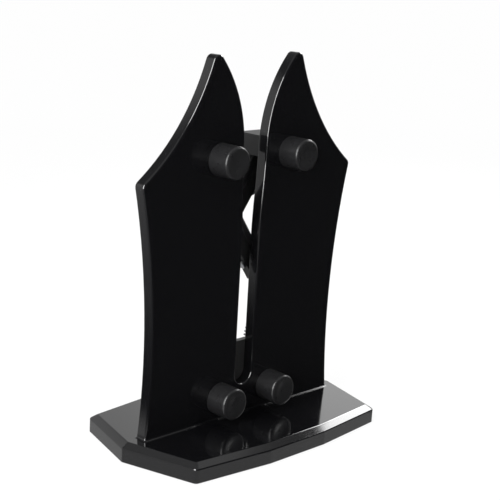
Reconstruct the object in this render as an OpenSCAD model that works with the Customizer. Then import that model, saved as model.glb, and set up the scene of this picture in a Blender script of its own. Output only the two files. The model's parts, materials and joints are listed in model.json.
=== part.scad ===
// Knife sharpener: an upright frame with two fins stands on a bevelled base.
// Behind it two sprung arms carry crossed sharpening bars, and the blade is pressed down into their V.
// Lengths are in millimetres. The front of the frame faces -Y and +Z is up.
// The origin is at the middle of the underside of the pad that the sharpener rests on.

/* [Base] */
// Length of the base from its left point to its right point
base_l = 141.8; // [136:0.2:150]
// How far the base's end points stand out beyond its corners
base_point = 10.7; // [8:0.1:13]
// Length of the straight middle of the base's front and rear edges
base_edge_l = 36.4; // [20:0.2:60]
// Depth of the base at its middle
base_d = 85.4; // [81:0.2:92]
// How far the base's corners stand back from its front and rear edges
corner_back = 4.6; // [3:0.1:6]
// Height of the base's top above what it stands on
base_top = 9.3; // [9:0.1:14]
// Height of the bevel round the base's top
bevel_h = 2.2; // [1:0.1:3]
// Width of that bevel
bevel_w = 3.2; // [1:0.1:3.6]
// Radius of the base's corners, which is halved round its top
base_corner_r = 2.2; // [1:0.1:4]
// Width of the rim round the hollow underside of the base
base_rim = 5; // [4:0.5:7]
// Thickness of the base above its hollow underside
base_roof = 4.1; // [3:0.1:4.4]

/* [Pad and ballast] */
// Thickness of the non-slip pad
pad_t = 1.6; // [1.2:0.1:2]
// How far the pad stands out below the base
pad_proud = 0.5; // [0.3:0.1:0.8]
// Space between the pad and the steel ballast plate
ballast_gap = 0.55; // [0.35:0.05:1.5]

/* [Upright frame] */
// Height of the fin tips above what the sharpener stands on
frame_h = 182.5; // [176:0.5:190]
// Thickness of the upright frame
frame_t = 6; // [5:0.1:7]
// How far the frame's middle stands in front of the base's middle
frame_set = 1.3; // [0:0.1:3]
// How far the frame's foot stands in from the base's end points
foot_inset = 9.7; // [8:0.1:13]
// How far the frame's shoulders stand out beyond its foot
shoulder_over = 6.2; // [4:0.1:9]
// Height of the shoulders
shoulder_z = 127.5; // [124:0.5:132]
// How far the frame's sides are drawn in between foot and shoulder
side_sag = 4.8; // [1:0.1:7]
// Radius of the hollow curve from shoulder to fin tip
fin_outer_r = 108; // [95:1:140]
// Distance between the middles of the two fin tips
tip_gap = 51.4; // [46:0.2:58]
// Radius of the fin tips
tip_r = 3.3; // [2.5:0.1:4.2]
// Cut taken off the shoulder's corner to round it
shoulder_cut = 2; // [1:0.1:6]
// Height of the throat, where the notch becomes the slot
throat_z = 139; // [136:0.5:146]
// Width of the slot at the throat
throat_w = 14.6; // [13.6:0.2:16]
// Width of the slot below its taper
slot_w = 11; // [10.4:0.1:12.6]
// Height where the slot's taper ends
taper_z = 96; // [85:1:110]
// Height of the slot's rounded bottom
slot_z = 24; // [22:0.5:27]
// Depth of the frame's tenon in the base
tenon_h = 3; // [2:0.1:4]
// How far the tenon's ends stand in from the frame's foot
tenon_inset = 7.4; // [6:0.1:10]

/* [Pivots and spring anchors] */
// Distance between the two pivots
pivot_gap = 45.2; // [43:0.2:48]
// Height of the pivots
pivot_z = 135.6; // [134:0.2:138]
// Distance between the two spring anchors
anchor_gap = 32.6; // [31:0.2:35]
// Height of the spring anchors
anchor_z = 20.2; // [19.8:0.2:23]
// Diameter of the four front caps
cap_d = 15.2; // [15:0.1:16]
// Length of the front caps
cap_l = 12.1; // [11:0.1:14]
// Rounding of a cap's front edge
cap_round = 1.2; // [0.6:0.1:1.4]
// Depth of the recess in a cap's end
cap_dish = 0.8; // [0.4:0.1:1]
// Wall of the caps
cap_wall = 1.3; // [1.1:0.1:1.5]
// Shank diameter of the pivot bolts
pivot_d = 6; // [5:0.1:6.4]
// Diameter of the anchor bolts and spring studs
anchor_d = 4; // [3.4:0.1:4]

/* [Arms] */
// Angle of a sharpening bar from upright at rest
rest_a = 35; // [33:0.5:38]
// Turn of an arm from rest to its travel stop
travel_a = 17; // [12:0.5:18]
// Diameter of an arm's hub
hub_d = 15.4; // [15:0.2:17]
// How far an arm's hub stands out behind the rear bar
hub_over = 0.5; // [0.3:0.1:1.5]
// Length of the flat-topped head beside the hub
head_l = 13.4; // [10:0.2:14]
// Height of the head
head_h = 10; // [8:0.5:12]
// Thickness of the bar carriers and of the sharpening bars
carrier_t = 5; // [4.5:0.1:5.2]
// Width of a carrier behind its bar
carrier_w = 7; // [6:0.2:7.6]
// Distance from pivot to the near end of the bar
bar_start = 13; // [12:0.5:15]
// Length of the sharpening bars
bar_l = 58; // [50:0.5:60]
// Depth of the sharpening bars across their working edge
bar_d = 4.5; // [4:0.1:5]
// Thickness of the lug that holds the bar's far end
lug_t = 3; // [2:0.1:4]
// Angle of an arm's tail from upright at rest
tail_a = 12.2; // [10:0.2:15]
// Distance from pivot to spring stud
tail_l = 49; // [46:0.5:51]
// Thickness of the tail
tail_t = 4.5; // [4:0.1:4.8]
// Width of the tail at its end
tail_w = 10; // [9:0.2:11]
// Gap from the frame's rear face to the first bar
first_gap = 4; // [3.8:0.1:4.4]
// How far the tails' front faces stand behind the first bar's
tail_set = 0.2; // [0.1:0.05:0.4]
// Gap between the two bars where they cross
cross_gap = 0.8; // [0.5:0.1:0.9]

/* [Springs] */
// Diameter of the spring wire
wire_d = 1.1; // [0.9:0.05:1.2]
// Mean diameter of the springs' curls
curl_d = 6; // [5.8:0.1:6.4]
// Rise of the springs' wire at each curl
curl_pitch = 1.75; // [1.7:0.05:2.2]
// Least distance from the middle of a hook to the spring's curled body
hook_reach = 9.7; // [9:0.1:11]

/* [Stops] */
// Diameter of the rubber stop sleeves
stop_d = 6; // [5:0.2:6.4]
// Distance of the stops from the pivots, along the tail
stop_at = 40; // [34:0.5:41]
// Space between a stop and the tail that meets it
stop_gap = 0.3; // [0.2:0.05:0.5]

/* [Rear brace] */
// Width of the rear brace
brace_w = 56; // [50:0.5:64]
// Height of the brace's top edge
brace_top = 43.7; // [40:0.5:46]
// Thickness of the brace's metal
brace_t = 3; // [2:0.1:3.2]
// Depth of the brace's foot
brace_d = 15; // [13.5:0.5:15.5]

/* [Hidden] */
$fn = 64;

// Clearances and overruns that the whole model shares
cut = 1;
slip = 0.05;
hole_slack = 0.1;
body_gap = 0.3;

// Base: outline corners, hollow underside and the rib under the frame
half_l = base_l / 2;
half_corner_l = half_l - base_point;
half_edge_l = base_edge_l / 2;
half_d = base_d / 2;
half_corner_d = half_d - corner_back;
base_outline = [
    [-half_l, 0], [-half_corner_l, -half_corner_d], [-half_edge_l, -half_d], [half_edge_l, -half_d],
    [half_corner_l, -half_corner_d], [half_l, 0], [half_corner_l, half_corner_d], [half_edge_l, half_d],
    [-half_edge_l, half_d], [-half_corner_l, half_corner_d]
];
base_bottom = pad_proud;
base_side_top = base_top - bevel_h;
hollow_top = base_top - base_roof;
ballast_t = hollow_top - pad_t - ballast_gap;
pad_fit = 0.4;
ballast_fit = 0.4;
rib_wall = 3.7;
rib_skin = 1.2;

// Frame: its faces, the circles of its curves and its fixing screws
frame_front = -frame_set - frame_t / 2;
frame_rear = frame_front + frame_t;
slot_r = slot_w / 2;
throat_r = throat_w / 2;
foot_r = half_l - foot_inset;
shoulder_r = foot_r + shoulder_over;
tenon_w = 2 * (foot_r - tenon_inset);
tip_c = [tip_gap / 2, frame_h - tip_r];
tip_rise = tip_c.y - throat_z;
tip_run = tip_c.x - throat_r;
fin_inner_r = (pow(tip_run, 2) + pow(tip_rise, 2) - pow(tip_r, 2)) / (2 * (tip_run - tip_r));
inner_c = [throat_r + fin_inner_r, throat_z];
shoulder_p = [shoulder_r, shoulder_z];
outer_c = circles_meet(shoulder_p, fin_outer_r, tip_c, fin_outer_r + tip_r);
frame_screw_d = 3;
frame_screw_head_d = 5.6;
frame_screw_head_h = 1.8;
frame_screw_seat = 2.2;
frame_screw_l = 14;
frame_screw_shares = [-0.45, -0.25, 0.25, 0.45];
frame_screw_spots = frame_screw_shares * tenon_w;
brace_screw_shares = [-0.34, 0.34];
brace_screw_spots = brace_screw_shares * brace_w;
brace_screw_d = 3.5;
brace_screw_head_d = 7;
brace_screw_crown_d = 4.5;
brace_screw_head_h = 2.2;
brace_screw_l = 9;
brace_screw_edge = 4.6;
brace_screw_y = frame_rear + brace_d - brace_screw_edge;

// Rib under the frame, between the hollows of the base
rib_l = tenon_w + 2 * rib_wall;
rib_front = rib_wall - frame_front;
rib_rear = brace_screw_y + brace_screw_d / 2 + rib_skin;

// Pivots and anchors: where their pieces begin and end along Y
pivot_r = pivot_d / 2;
anchor_r = anchor_d / 2;
pivot_x = pivot_gap / 2;
anchor_x = anchor_gap / 2;
cap_r = cap_d / 2;
cap_bore_r = cap_r - cap_wall;
cap_floor = 1.6;
spigot_h = 3;
spigot_wall = 1;
head_fit = 0.3;
pivot_head_d = 2 * (cap_bore_r - spigot_wall - head_fit);
pivot_head_h = 4.5;
anchor_head_d = 7;
anchor_head_h = 3.2;
hex_key = 4;
hex_depth = 2;
washer_t = 1;
pivot_washer_d = 12;
first_layer = frame_rear + first_gap;
second_layer = first_layer + carrier_t + cross_gap;
tail_front = first_layer + tail_set;
tail_rear = tail_front + tail_t;
hub_front = frame_rear + washer_t + body_gap;
hub_rear = second_layer + carrier_t + hub_over;
hub_l = hub_rear - hub_front;
rear_washer_y = hub_rear + body_gap;
pivot_nut_y = rear_washer_y + washer_t;
pivot_nut_h = 5;
pivot_nut_w = 10;
pivot_end = 0.8;
nut_collar_share = 0.25;
nut_crown_share = 0.84;
bush_wall = 1.5;
bush_r = pivot_r + slip + bush_wall;

// Arms: tail, bar screws, tail stud and stops
hub_r = hub_d / 2;
tail_end_r = tail_w / 2;
tail_inset = 2;
tail_root_r = hub_r - tail_inset;
nose_r = carrier_t / 2;
bar_fit = 0.02;
bar_screw_d = 2.5;
bar_screw_head_d = 4.4;
bar_screw_head_h = 1.5;
bar_screw_depth = 2.4;
bar_screw_shares = [0.14, 0.86];
lug_nose_share = 0.66;
lug_nose = lug_nose_share * bar_d;
stud_flange_r = 3.5;
stud_flange_t = 1.2;
stud_head_t = 0.9;
hook_gap = 1;
spring_y = tail_rear + stud_flange_t + hook_gap + wire_d / 2;
hook_space = wire_d + 2 * hook_gap;
hook_y = spring_y - hook_space / 2;
hook_end_y = spring_y + hook_space / 2;
stop_r = stop_d / 2;
stop_pin_r = 2;
stop_off = tail_end_r + stop_gap + stop_r;
stop_over = 0.6;
stop_pin_end = tail_rear + stop_over;
stop_collar = 2.4;
stop_sleeve_y = frame_rear + stop_collar;

// Anchors behind the brace
brace_rear = frame_rear + brace_t;
sleeve_r = 4;
anchor_washer_r = 4;
anchor_nut_w = 7;
anchor_nut_h = 3.2;
anchor_end = 0.8;
anchor_nut_y = hook_end_y + washer_t;

// Springs: the line from anchor to stud, and counts of sides and rings
spring_low = [anchor_x, anchor_z];
spring_high = [pivot_x + tail_l * sin(tail_a), pivot_z - tail_l * cos(tail_a)];
spring_vec = spring_high - spring_low;
spring_span = norm(spring_vec);
spring_tilt = atan2(spring_vec.x, spring_vec.y);
curl_r = curl_d / 2;
wire_r = wire_d / 2;
rings_per_curl = 8;
wire_sides = 6;
hook_turn = 270;
hook_rings = 9;
bend_rings = 5;
curls = floor((spring_span - 2 * hook_reach) / curl_pitch);
spring_body = curls * curl_pitch;
body_low = (spring_span - spring_body) / 2;
body_high = body_low + spring_body;
bend_reach_share = 0.75;
bend_rise_share = 1.2;
bend_rise = bend_rise_share * curl_r;

// Smooth step from 0 to 1
function ease(t) = t * t * (3 - 2 * t);

// Point at an angle on a circle
function on_circle(c, r, a) = c + r * [cos(a), sin(a)];

// Points along a circle from one angle to another
function arc(c, r, a0, a1, n) = [for (i = [0:n]) on_circle(c, r, a0 + (a1 - a0) * i / n)];

// Meeting point, on the right of the way from p to q, of circles about them
function circles_meet(p, rp, q, rq) =
    let (d = norm(q - p), u = (q - p) / d, along = (rp * rp - rq * rq + d * d) / (2 * d))
    p + along * u + sqrt(rp * rp - along * along) * [u.y, -u.x];

// Points along a shallow arc that bows to the left of the way from p to q
function bow(p, q, sag, n) =
    let (d = norm(q - p), r = d * d / (8 * sag) + sag / 2, u = (q - p) / d)
    let (c = (p + q) / 2 + (r - sag) * [u.y, -u.x], a = asin(d / (2 * r)))
    let (mid_a = atan2(u.x, -u.y))
    [for (i = [0:n]) c + r * [cos(mid_a + a - 2 * a * i / n), sin(mid_a + a - 2 * a * i / n)]];

// Corner rounded by a curve that starts and ends a cut's length away from it
function corner(before, p, after, size, n) =
    let (a = p + size * (before - p) / norm(before - p), b = p + size * (after - p) / norm(after - p))
    [for (i = [0:n]) let (t = i / n) (1 - t) * (1 - t) * a + 2 * t * (1 - t) * p + t * t * b];

// Convex outline drawn in by the same distance on every side
function drawn_in(pts, by) = [
    for (i = [0:len(pts) - 1])
        let (n = len(pts), before = pts[(i + n - 1) % n], after = pts[(i + 1) % n])
        let (e1 = (pts[i] - before) / norm(pts[i] - before), e2 = (after - pts[i]) / norm(after - pts[i]))
        let (n1 = [-e1.y, e1.x], n2 = [-e2.y, e2.x])
        pts[i] + by * (n1 + n2) / (1 + n1 * n2)
];

// Right half of the frame's outline, from the slot's bottom over the fin to the foot
tip_in_a = atan2(tip_c.y - inner_c.y, tip_c.x - inner_c.x);
tip_out_a = atan2(outer_c.y - tip_c.y, outer_c.x - tip_c.x);
outer_tip_a = tip_out_a + 180;
outer_shoulder_a = atan2(shoulder_p.y - outer_c.y, shoulder_p.x - outer_c.x) + 360;
foot_p = [foot_r, base_top];
outer_curve = arc(outer_c, fin_outer_r, outer_tip_a, outer_shoulder_a, 14);
side_curve = bow(foot_p, shoulder_p, side_sag, 14);
half_outline = concat(
    arc([0, slot_z + slot_r], slot_r, -90, 0, 8),
    [for (i = [0:8]) [slot_r + (throat_r - slot_r) * ease(i / 8), taper_z + (throat_z - taper_z) * i / 8]],
    [for (i = [1:14]) on_circle(inner_c, fin_inner_r, 180 + (tip_in_a - 180) * i / 14)],
    [for (i = [1:8]) on_circle(tip_c, tip_r, tip_in_a + (tip_out_a - tip_in_a) * i / 8)],
    [for (i = [1:13]) outer_curve[i]],
    corner(outer_curve[13], shoulder_p, side_curve[13], shoulder_cut, 4),
    [for (i = [13:-1:0]) side_curve[i]]
);

// Flat shape stood up in the XZ plane, from y to y + t
module stood(y, t) {
    translate([0, y + t, 0])
        rotate([90, 0, 0])
            linear_extrude(t) children();
}

// Round bar along +Y
module bar_y(x, y, z, r, l) {
    translate([x, y, z])
        rotate([-90, 0, 0])
            cylinder(h = l, r = r);
}

// Ring along +Y
module ring_y(x, y, z, r, bore, l) {
    difference() {
        bar_y(x, y, z, r, l);
        bar_y(x, y - cut, z, bore, l + 2 * cut);
    }
}

// Hexagon along +Y, by its width across flats
module hex_y(x, y, z, w, l) {
    translate([x, y, z])
        rotate([-90, 0, 0])
            cylinder(h = l, r = w / 2 / cos(30), $fn = 6);
}

// Children as they stand on the right, or mirrored to the left
module on(side) {
    if (side > 0) children();
    else mirror([1, 0, 0]) children();
}

// Children in a frame with its origin on the right pivot's axis, turned so that -Z runs along a lever
module at_pivot(a) {
    translate([pivot_x, 0, pivot_z])
        rotate([0, a, 0]) children();
}

module base_rib(slack) {
    translate([-rib_l / 2 - slack, -rib_front - slack, 0])
        cube([rib_l + 2 * slack, rib_front + rib_rear + 2 * slack, hollow_top + cut]);
}

// Posts in the base's corners, whose hull is one layer of the base
module base_posts(inset, r, z, h) {
    for (p = drawn_in(base_outline, inset + r))
        translate([p.x, p.y, z]) cylinder(h = h, r = r, $fn = 32);
}

module base_plate() {
    color([0.03, 0.03, 0.035]) difference() {
        hull() {
            base_posts(0, base_corner_r, base_bottom, base_side_top - base_bottom);
            base_posts(bevel_w, base_corner_r / 2, base_side_top, bevel_h);
        }
        difference() {
            translate([0, 0, -cut])
                linear_extrude(hollow_top + cut) polygon(drawn_in(base_outline, base_rim));
            translate([0, 0, pad_t]) base_rib(0);
        }
        tenon(slip);
        for (x = frame_screw_spots) frame_screw_hole(x);
        for (x = brace_screw_spots)
            translate([x, brace_screw_y, base_top + brace_t - brace_screw_l - cut])
                cylinder(h = brace_screw_l + cut, r = brace_screw_d / 2);
    }
}

module frame_screw_hole(x) {
    y = -frame_set;
    translate([x, y, 0]) cylinder(h = base_top, r = (frame_screw_d + hole_slack) / 2);
    translate([x, y, 0])
        cylinder(h = frame_screw_seat + frame_screw_head_h, r = (frame_screw_head_d + hole_slack) / 2);
}

module tenon(slack) {
    translate([-tenon_w / 2 - slack, frame_front - slack, base_top - tenon_h - slack])
        cube([tenon_w + 2 * slack, frame_t + 2 * slack, tenon_h + cut]);
}

module base_ballast() {
    color([0.35, 0.36, 0.38]) difference() {
        translate([0, 0, hollow_top - ballast_t])
            linear_extrude(ballast_t - slip) polygon(drawn_in(base_outline, base_rim + ballast_fit));
        translate([0, 0, -cut]) base_rib(ballast_fit);
    }
}

module non_slip_pad() {
    color([0.05, 0.05, 0.05])
        linear_extrude(pad_t) polygon(drawn_in(base_outline, base_rim + pad_fit));
}

module frame_screws() {
    color([0.7, 0.7, 0.72])
        for (x = frame_screw_spots) {
            translate([x, -frame_set, frame_screw_seat])
                cylinder(h = frame_screw_head_h, r = frame_screw_head_d / 2);
            translate([x, -frame_set, frame_screw_seat])
                cylinder(h = frame_screw_l, r = frame_screw_d / 2);
        }
}

// Place of a stop beside the tail, inside it (-1) or outside it (1), when the tail stands at an angle
function stop_spot(a, way) = [
    pivot_x + stop_at * sin(a) + way * stop_off * cos(a),
    pivot_z - stop_at * cos(a) + way * stop_off * sin(a)
];
rest_stop = stop_spot(tail_a, -1);
travel_stop = stop_spot(tail_a + travel_a, 1);

// Ring on the frame's front that a cap is pushed over
module spigot(x, z) {
    ring_y(x, frame_front - spigot_h, z, cap_bore_r - slip, cap_bore_r - spigot_wall, spigot_h);
}

module upright_frame() {
    left_half = [for (i = [len(half_outline) - 1:-1:1]) [-half_outline[i].x, half_outline[i].y]];
    color([0.02, 0.02, 0.025]) difference() {
        union() {
            stood(frame_front, frame_t) polygon(concat(half_outline, left_half));
            translate([-tenon_w / 2, frame_front, base_top - tenon_h])
                cube([tenon_w, frame_t, tenon_h]);
            for (side = [-1, 1]) on(side) {
                spigot(pivot_x, pivot_z);
                spigot(anchor_x, anchor_z);
                for (p = [rest_stop, travel_stop])
                    bar_y(p.x, frame_rear, p.y, stop_pin_r, stop_pin_end - frame_rear);
            }
        }
        for (side = [-1, 1]) on(side) {
            bar_y(pivot_x, frame_front - cut, pivot_z, pivot_r + hole_slack, frame_t + 2 * cut);
            bar_y(anchor_x, frame_front - cut, anchor_z, anchor_r + hole_slack, frame_t + 2 * cut);
        }
        for (x = frame_screw_spots)
            translate([x, -frame_set, 0])
                cylinder(h = frame_screw_seat + frame_screw_l + hole_slack,
                    r = (frame_screw_d + hole_slack) / 2);
    }
}

module rear_brace() {
    color([0.12, 0.12, 0.13]) difference() {
        union() {
            translate([-brace_w / 2, frame_rear, base_top])
                cube([brace_w, brace_t, brace_top - base_top]);
            translate([-brace_w / 2, frame_rear, base_top])
                cube([brace_w, brace_d, brace_t]);
        }
        for (side = [-1, 1]) on(side)
            bar_y(anchor_x, frame_rear - cut, anchor_z, anchor_r + hole_slack, brace_t + 2 * cut);
        for (x = brace_screw_spots)
            translate([x, brace_screw_y, base_top - cut])
                cylinder(h = brace_t + 2 * cut, r = (brace_screw_d + hole_slack) / 2);
    }
}

module brace_screws() {
    color([0.7, 0.7, 0.72])
        for (x = brace_screw_spots) {
            top = base_top + brace_t;
            translate([x, brace_screw_y, top])
                cylinder(h = brace_screw_head_h, r1 = brace_screw_head_d / 2, r2 = brace_screw_crown_d / 2);
            translate([x, brace_screw_y, top - brace_screw_l])
                cylinder(h = brace_screw_l, r = (brace_screw_d - hole_slack) / 2);
        }
}

// Cap with a round front edge and a dished end, pushed over a spigot on the frame
module cap(x, z) {
    dish_r = cap_r - 2 * cap_round;
    edge = [for (i = [0:6]) on_circle([cap_r - cap_round, cap_l - cap_round], cap_round, 15 * i)];
    profile = concat(
        [[cap_bore_r, 0], [cap_r, 0]],
        edge,
        [[dish_r + cap_dish, cap_l], [dish_r, cap_l - cap_dish], [0, cap_l - cap_dish]],
        [[0, cap_l - cap_dish - cap_floor], [cap_bore_r, cap_l - cap_dish - cap_floor]]
    );
    color([0.03, 0.03, 0.035])
        translate([x, frame_front, z])
            rotate([90, 0, 0])
                rotate_extrude() polygon(profile);
}

module left_pivot_cap() {
    cap(-pivot_x, pivot_z);
}

module right_pivot_cap() {
    cap(pivot_x, pivot_z);
}

module left_anchor_cap() {
    cap(-anchor_x, anchor_z);
}

module right_anchor_cap() {
    cap(anchor_x, anchor_z);
}

// Bolt along +Y with its socket head against the frame's front
module bolt(x, z, r, head_r, head_h, end) {
    color([0.72, 0.72, 0.74]) difference() {
        union() {
            bar_y(x, frame_front - head_h, z, head_r, head_h);
            bar_y(x, frame_front, z, r, end - frame_front);
        }
        hex_y(x, frame_front - head_h - cut, z, hex_key, hex_depth + cut);
    }
}

module pivot_bolt(x) {
    bolt(x, pivot_z, pivot_r, pivot_head_d / 2, pivot_head_h, pivot_nut_y + pivot_nut_h + pivot_end);
}

module anchor_bolt(x) {
    bolt(x, anchor_z, anchor_r, anchor_head_d / 2, anchor_head_h, anchor_nut_y + anchor_nut_h + anchor_end);
}

module left_pivot_bolt() {
    pivot_bolt(-pivot_x);
}

module right_pivot_bolt() {
    pivot_bolt(pivot_x);
}

module left_anchor_bolt() {
    anchor_bolt(-anchor_x);
}

module right_anchor_bolt() {
    anchor_bolt(anchor_x);
}

module pivot_washers(y) {
    color([0.75, 0.75, 0.77])
        for (x = [-pivot_x, pivot_x])
            ring_y(x, y, pivot_z, pivot_washer_d / 2, pivot_r + slip, washer_t);
}

module front_washers() {
    pivot_washers(frame_rear);
}

module rear_washers() {
    pivot_washers(rear_washer_y);
}

// Nut with a plain collar at its outer end
module lock_nut(x, y, z, w, h, bore) {
    collar_h = nut_collar_share * h;
    difference() {
        union() {
            hex_y(x, y, z, w, h - collar_h);
            bar_y(x, y + h - collar_h, z, nut_crown_share * w / 2, collar_h);
        }
        bar_y(x, y - cut, z, bore, h + 2 * cut);
    }
}

module pivot_nuts() {
    color([0.7, 0.7, 0.72])
        for (x = [-pivot_x, pivot_x])
            lock_nut(x, pivot_nut_y, pivot_z, pivot_nut_w, pivot_nut_h, pivot_r + slip);
}

module anchor_sleeves() {
    color([0.6, 0.6, 0.62])
        for (x = [-anchor_x, anchor_x])
            ring_y(x, brace_rear, anchor_z, sleeve_r, anchor_r + slip, hook_y - brace_rear);
}

module anchor_washers() {
    color([0.75, 0.75, 0.77])
        for (x = [-anchor_x, anchor_x])
            ring_y(x, hook_end_y, anchor_z, anchor_washer_r, anchor_r + slip, washer_t);
}

module anchor_nuts() {
    color([0.7, 0.7, 0.72])
        for (x = [-anchor_x, anchor_x])
            lock_nut(x, anchor_nut_y, anchor_z, anchor_nut_w, anchor_nut_h, anchor_r + slip);
}

// Tapered link between two round ends
module link(r0, l, r1) {
    circle(r = r0);
    translate([0, -l]) circle(r = r1);
    polygon([[-r0, 0], [r0, 0], [r1, -l], [-r1, -l]]);
}

// Right arm with its bar carrier in the layer that starts at y
module arm(y) {
    carrier_end = bar_start + bar_l + lug_t;
    color([0.06, 0.06, 0.065]) difference() {
        union() {
            bar_y(pivot_x, hub_front, pivot_z, hub_r, hub_l);
            translate([pivot_x - head_l, hub_front, pivot_z + hub_r - head_h])
                cube([head_l, hub_l, head_h]);
            at_pivot(rest_a) {
                translate([0, y, -carrier_end]) cube([carrier_w, carrier_t, carrier_end]);
                translate([-bar_d, y, -bar_start + bar_fit])
                    cube([bar_d + carrier_w, carrier_t, bar_start - bar_fit]);
                translate([-lug_nose, y, -carrier_end])
                    cube([carrier_w + lug_nose, carrier_t, lug_t - bar_fit]);
            }
            at_pivot(-tail_a) stood(tail_front, tail_t) link(tail_root_r, tail_l, tail_end_r);
        }
        bar_y(pivot_x, hub_front - cut, pivot_z, bush_r, hub_l + 2 * cut);
        at_pivot(rest_a) bar_screw_shanks(y, slip);
        at_pivot(-tail_a) bar_y(0, tail_front - cut, -tail_l, anchor_r, tail_t + 2 * cut);
    }
}

// Shanks of the screws that hold a bar, in the lever's own frame
module bar_screw_shanks(y, slack) {
    for (s = bar_screw_shares)
        translate([-bar_screw_depth, y + carrier_t / 2, -bar_start - s * bar_l])
            rotate([0, 90, 0])
                cylinder(h = carrier_w + bar_screw_depth + slack, r = bar_screw_d / 2 + slack);
}

module bar_screws(y) {
    color([0.7, 0.7, 0.72]) at_pivot(rest_a) {
        bar_screw_shanks(y, 0);
        for (s = bar_screw_shares)
            translate([carrier_w, y + carrier_t / 2, -bar_start - s * bar_l])
                rotate([0, 90, 0])
                    cylinder(h = bar_screw_head_h, r = bar_screw_head_d / 2);
    }
}

// Sharpening bar with a round working edge, on the inner side of its carrier
module sharpening_bar(y) {
    color([0.42, 0.43, 0.45]) at_pivot(rest_a) difference() {
        translate([0, y, -bar_start - bar_l]) union() {
            translate([nose_r - bar_d, 0, 0]) cube([bar_d - nose_r, carrier_t, bar_l]);
            intersection() {
                translate([nose_r - bar_d, nose_r, 0]) cylinder(h = bar_l, r = nose_r);
                translate([-bar_d - cut, 0, 0]) cube([bar_d + cut, carrier_t, bar_l]);
            }
        }
        bar_screw_shanks(y, slip);
    }
}

// Bush pressed into the hub, running on the pivot bolt
module bush() {
    color([0.72, 0.55, 0.28])
        ring_y(pivot_x, hub_front, pivot_z, bush_r, pivot_r + slip, hub_l);
}

// Stud riveted through the tail, with two flanges that keep the spring's hook between them
module spring_stud() {
    color([0.72, 0.72, 0.74]) at_pivot(-tail_a) {
        bar_y(0, tail_front - stud_head_t, -tail_l, stud_flange_r, stud_head_t);
        bar_y(0, tail_front, -tail_l, anchor_r, hook_end_y - tail_front);
        bar_y(0, tail_rear, -tail_l, stud_flange_r, stud_flange_t);
        bar_y(0, hook_end_y, -tail_l, stud_flange_r, stud_flange_t);
    }
}

module left_arm() {
    on(-1) arm(first_layer);
}

module right_arm() {
    on(1) arm(second_layer);
}

module left_bush() {
    on(-1) bush();
}

module right_bush() {
    on(1) bush();
}

module left_sharpening_bar() {
    on(-1) sharpening_bar(first_layer);
}

module right_sharpening_bar() {
    on(1) sharpening_bar(second_layer);
}

module left_bar_screws() {
    on(-1) bar_screws(first_layer);
}

module right_bar_screws() {
    on(1) bar_screws(second_layer);
}

module left_spring_stud() {
    on(-1) spring_stud();
}

module right_spring_stud() {
    on(1) spring_stud();
}

// Path of a spring's wire: x across the spring, y along the studs, z from the lower anchor to the upper stud
curl_angles = [for (i = [0:curls * rings_per_curl]) -90 + 360 * i / rings_per_curl];
function curl_point(i) = [
    curl_r * cos(curl_angles[i]), curl_r * sin(curl_angles[i]),
    body_low + spring_body * i / (curls * rings_per_curl)
];
body_path = [for (i = [0:curls * rings_per_curl]) curl_point(i)];

// Bend from the body's last point, heading across, to the straight run beside the spring's axis
function bend(p, dir, q, rise, i) =
    let (t = i / bend_rings, a = p + bend_reach_share * curl_r * dir, b = q - [0, 0, rise])
    pow(1 - t, 3) * p + 3 * t * pow(1 - t, 2) * a + 3 * t * t * (1 - t) * b + pow(t, 3) * q;
high_run = [curl_r, 0, body_high + bend_rise];
body_end = body_path[len(body_path) - 1];
high_bend = [for (i = [1:bend_rings]) bend(body_end, [1, 0, 0], high_run, bend_rise / 2, i)];
low_run = [-curl_r, 0, body_low - bend_rise];
low_bend = [for (i = [bend_rings:-1:1]) bend(body_path[0], [-1, 0, 0], low_run, -bend_rise / 2, i)];
high_hook = [
    for (i = [0:hook_rings])
        let (a = hook_turn * i / hook_rings)
        [curl_r * cos(a), 0, spring_span + curl_r * sin(a)]
];
low_hook = [
    for (i = [hook_rings:-1:0])
        let (a = hook_turn * i / hook_rings)
        [-curl_r * cos(a), 0, -curl_r * sin(a)]
];
wire_path = concat(low_hook, low_bend, body_path, high_bend, high_hook);
wire_last = len(wire_path) - 1;

function unit(v) = v / norm(v);
function heading(i) = unit(wire_path[min(i + 1, wire_last)] - wire_path[max(i - 1, 0)]);
function squared(v, t) = unit(v - (v * t) * t);
wire_sides_dir = [
    for (i = 0, v = squared([0, 1, 0], heading(0)); i <= wire_last;
        i = i + 1, v = squared(v, heading(min(i, wire_last)))) v
];
wire_points = [
    for (i = [0:wire_last]) let (t = heading(i), u = wire_sides_dir[i], w = cross(t, u))
        for (k = [0:wire_sides - 1])
            wire_path[i] + wire_r * (cos(360 * k / wire_sides) * u + sin(360 * k / wire_sides) * w)
];
wire_faces = concat(
    [[for (k = [0:wire_sides - 1]) k]],
    [
        for (i = [0:wire_last - 1]) for (k = [0:wire_sides - 1])
            let (n = (k + 1) % wire_sides, a = i * wire_sides)
            for (f = [[a + k, a + wire_sides + k, a + wire_sides + n], [a + k, a + wire_sides + n, a + n]]) f
    ],
    [[for (k = [wire_sides - 1:-1:0]) wire_last * wire_sides + k]]
);

// Least gap between parts of the wire that are a curl or more apart along it
apart = rings_per_curl - 2;
wire_gap = min([
    for (i = [0:wire_last - apart]) for (j = [i + apart:min(i + 3 * rings_per_curl, wire_last)])
        norm(wire_path[i] - wire_path[j])
]) - wire_d;
echo(wire_gap = wire_gap, curls_in_all = 2 * curls, spring_span = spring_span);

module spring() {
    color([0.62, 0.63, 0.65])
        translate([anchor_x, spring_y, anchor_z])
            rotate([0, spring_tilt, 0])
                polyhedron(wire_points, wire_faces);
}

module left_spring() {
    on(-1) spring();
}

module right_spring() {
    on(1) spring();
}

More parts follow.
